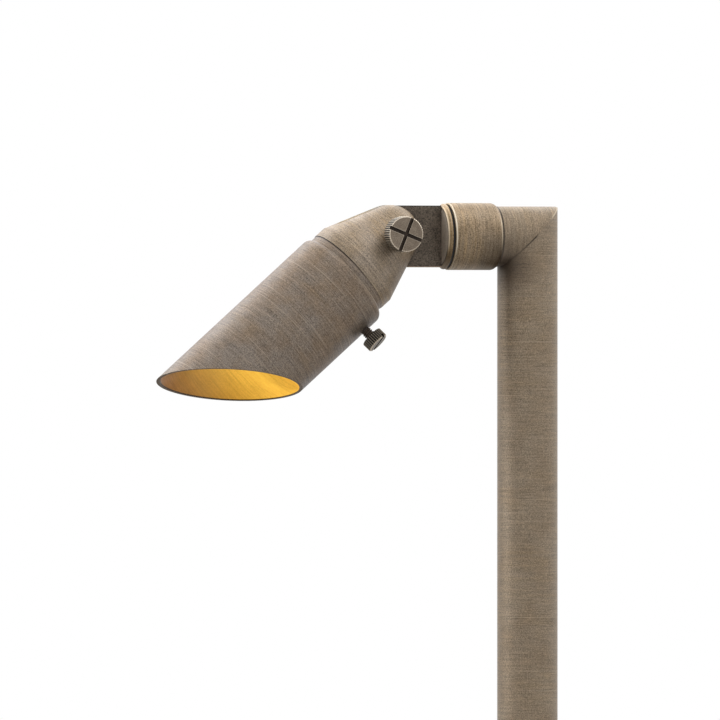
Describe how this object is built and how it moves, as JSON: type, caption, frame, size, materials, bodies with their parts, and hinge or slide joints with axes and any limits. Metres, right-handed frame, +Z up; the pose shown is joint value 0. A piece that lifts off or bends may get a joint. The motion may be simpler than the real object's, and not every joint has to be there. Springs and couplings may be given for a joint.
{
  "type": "accent spotlight",
  "caption": "Outdoor accent spotlight: slant-mouthed cylindrical shroud on a tilting slotted knuckle, swivelling on the short mitred arm of a tall pipe stem with a threaded foot.",
  "frame": {"origin": "centre of the foot's shoulder, where the threaded stud leaves it", "axes": "+Z up along the stem, the arm and head reach towards -X, and the tilt screw's knob faces -Y"},
  "size_m": [0.2202, 0.0602, 0.4749],
  "materials": {
    "pipe_bronze": "antique bronze on brushed brass, matt lacquer",
    "head_bronze": "antique bronze on brushed brass, bare gold brass inside",
    "dark_bronze": "dark antique bronze, fine grain",
    "black_rubber": "moulded, matt",
    "lens_rubber": "silicone, satin",
    "spring_steel": "bright stainless",
    "lead_jacket": "extruded jacket",
    "wire_jacket": "silicone insulation",
    "white_ceramic": "unglazed steatite",
    "lamp_glass": "dichroic coated glass",
    "clear_glass": "clear, polished"
  },
  "bodies": {
    "stem": {"stem_tube": "pipe_bronze", "arm_tube": "pipe_bronze", "arm_sleeve": "pipe_bronze", "foot_plug": "pipe_bronze", "foot_grommet": "black_rubber", "stem_lead": "lead_jacket"},
    "tongue": {"knuckle_tongue": "dark_bronze", "swivel_gasket": "black_rubber", "tongue_wires": "wire_jacket"},
    "head": {"head_housing": "head_bronze", "tilt_washers": "spring_steel", "lamp_barrel": "head_bronze", "wire_grommet": "black_rubber", "lamp_socket": "white_ceramic", "socket_screws": "spring_steel", "socket_wires": "wire_jacket", "lamp_base": "white_ceramic", "lamp_pins": "spring_steel", "lamp_reflector": "lamp_glass", "lamp_capsule": "clear_glass", "lamp_front_glass": "clear_glass"},
    "tilt_washer": {"tilt_lock_washer": "spring_steel"},
    "tilt_screw": {"tilt_thumbscrew": "dark_bronze"},
    "neck_ring": {"neck_seal": "black_rubber"},
    "shroud": {"shroud": "head_bronze", "lens": "clear_glass", "lens_seal": "lens_rubber", "lens_ring": "spring_steel"},
    "shroud_screw": {"shroud_thumbscrew": "dark_bronze"}
  },
  "joints": [
    {"name": "arm_swivel", "type": "hinge", "parent": "stem", "child": "tongue", "pos_m": [-0.04, 0, 0.441], "axis": [1, 0, 0], "range_deg": [-170, 170]},
    {"name": "head_tilt", "type": "hinge", "parent": "tongue", "child": "head", "pos_m": [-0.07755, 0, 0.4419], "axis": [0, 1, 0], "range_deg": [-48, 131]},
    {"name": "tilt_screw_travel", "type": "slide", "parent": "head", "child": "tilt_washer", "axis": [0, -1, 0], "range_m": [0, 0.001]},
    {"name": "tilt_screw_turn", "type": "hinge", "parent": "tilt_washer", "child": "tilt_screw", "pos_m": [-0.07755, -0.02, 0.4419], "axis": [0, -1, 0], "range_deg": [0, 360]},
    {"name": "shroud_turn", "type": "hinge", "parent": "head", "child": "neck_ring", "pos_m": [-0.07755, 0, 0.4419], "axis": [-0.7472, 0, -0.6646], "continuous": true},
    {"name": "shroud_pull", "type": "slide", "parent": "neck_ring", "child": "shroud", "axis": [-0.7472, 0, -0.6646], "range_m": [0, 0.06]},
    {"name": "shroud_screw_turn", "type": "hinge", "parent": "shroud", "child": "shroud_screw", "pos_m": [-0.09107, -0.01414, 0.38718], "axis": [0.6076, -0.4051, -0.6831], "range_deg": [0, 360]}
  ],
  "couplings": [
    {"joint": "tilt_screw_turn", "follows": "tilt_screw_travel", "rad_per_m": 6283.2}
  ]
}
